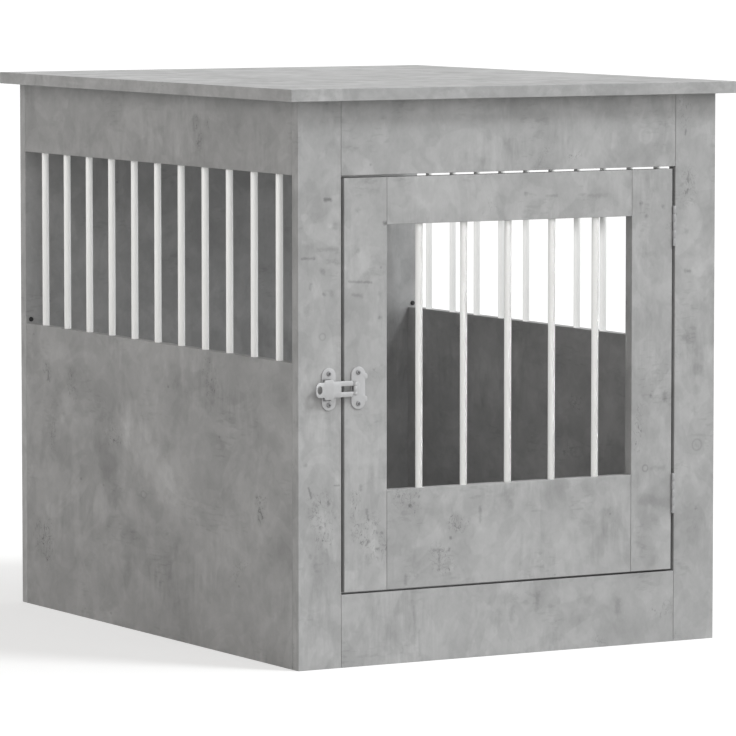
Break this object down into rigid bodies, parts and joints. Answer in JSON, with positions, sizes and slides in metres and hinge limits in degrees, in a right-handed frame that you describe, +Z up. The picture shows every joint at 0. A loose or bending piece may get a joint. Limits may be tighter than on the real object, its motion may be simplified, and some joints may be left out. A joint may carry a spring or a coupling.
{
  "type": "dog crate end table",
  "caption": "Boarded dog crate used as an end table, with barred sides, a barred hinged front door, a flip latch and an overhanging flat top.",
  "frame": {"origin": "on the floor under the middle of the table top, which is the middle of the whole outline seen from above", "axes": "+Z up, the door faces -Y, +X to the right of someone looking at the door"},
  "size_m": [0.645, 0.8, 0.71],
  "materials": {
    "concrete_laminate": "matt chipboard with a concrete-grey printed laminate",
    "bar_steel": "smooth off-white paint",
    "zinc_metal": "satin zinc plating",
    "dark_plastic": "black moulded plastic"
  },
  "bodies": {
    "crate": {"top_board": "concrete_laminate", "back_panel": "concrete_laminate", "left_top_rail": "concrete_laminate", "left_panel": "concrete_laminate", "left_bar_1": "bar_steel", "left_bar_2": "bar_steel", "left_bar_3": "bar_steel", "left_bar_4": "bar_steel", "left_bar_5": "bar_steel", "left_bar_6": "bar_steel", "left_bar_7": "bar_steel", "left_bar_8": "bar_steel", "left_bar_9": "bar_steel", "left_bar_10": "bar_steel", "left_bar_11": "bar_steel", "back_pin_left": "dark_plastic", "right_top_rail": "concrete_laminate", "right_panel": "concrete_laminate", "right_bar_1": "bar_steel", "right_bar_2": "bar_steel", "right_bar_3": "bar_steel", "right_bar_4": "bar_steel", "right_bar_5": "bar_steel", "right_bar_6": "bar_steel", "right_bar_7": "bar_steel", "right_bar_8": "bar_steel", "right_bar_9": "bar_steel", "right_bar_10": "bar_steel", "right_bar_11": "bar_steel", "back_pin_right": "dark_plastic", "floor_panel": "concrete_laminate", "front_left_stile": "concrete_laminate", "front_right_stile": "concrete_laminate", "front_top_rail": "concrete_laminate", "front_bottom_rail": "concrete_laminate", "hinge_top_frame_leaf": "zinc_metal", "hinge_top_pin": "zinc_metal", "hinge_bottom_frame_leaf": "zinc_metal", "hinge_bottom_pin": "zinc_metal", "latch_frame_plate": "zinc_metal", "frame_plate_screw_top": "zinc_metal", "frame_plate_screw_bottom": "zinc_metal"},
    "door": {"door_left_stile": "concrete_laminate", "door_right_stile": "concrete_laminate", "door_top_rail": "concrete_laminate", "door_bottom_rail": "concrete_laminate", "door_bar_1": "bar_steel", "door_bar_2": "bar_steel", "door_bar_3": "bar_steel", "door_bar_4": "bar_steel", "door_bar_5": "bar_steel", "hinge_top_door_leaf": "zinc_metal", "hinge_bottom_door_leaf": "zinc_metal", "latch_door_plate": "zinc_metal", "latch_pin": "zinc_metal", "door_plate_screw_top": "zinc_metal", "door_plate_screw_bottom": "zinc_metal"},
    "latch": {"latch_arm": "zinc_metal"}
  },
  "joints": [
    {"name": "door_swing", "type": "hinge", "parent": "crate", "child": "door", "pos_m": [0.24025, -0.381, 0.3465], "axis": [0, 0, 1], "range_deg": [0, 180]},
    {"name": "latch_flip", "type": "hinge", "parent": "door", "child": "latch", "pos_m": [-0.2256, -0.385, 0.3436], "axis": [0, 0, 1], "range_deg": [0, 170]}
  ]
}
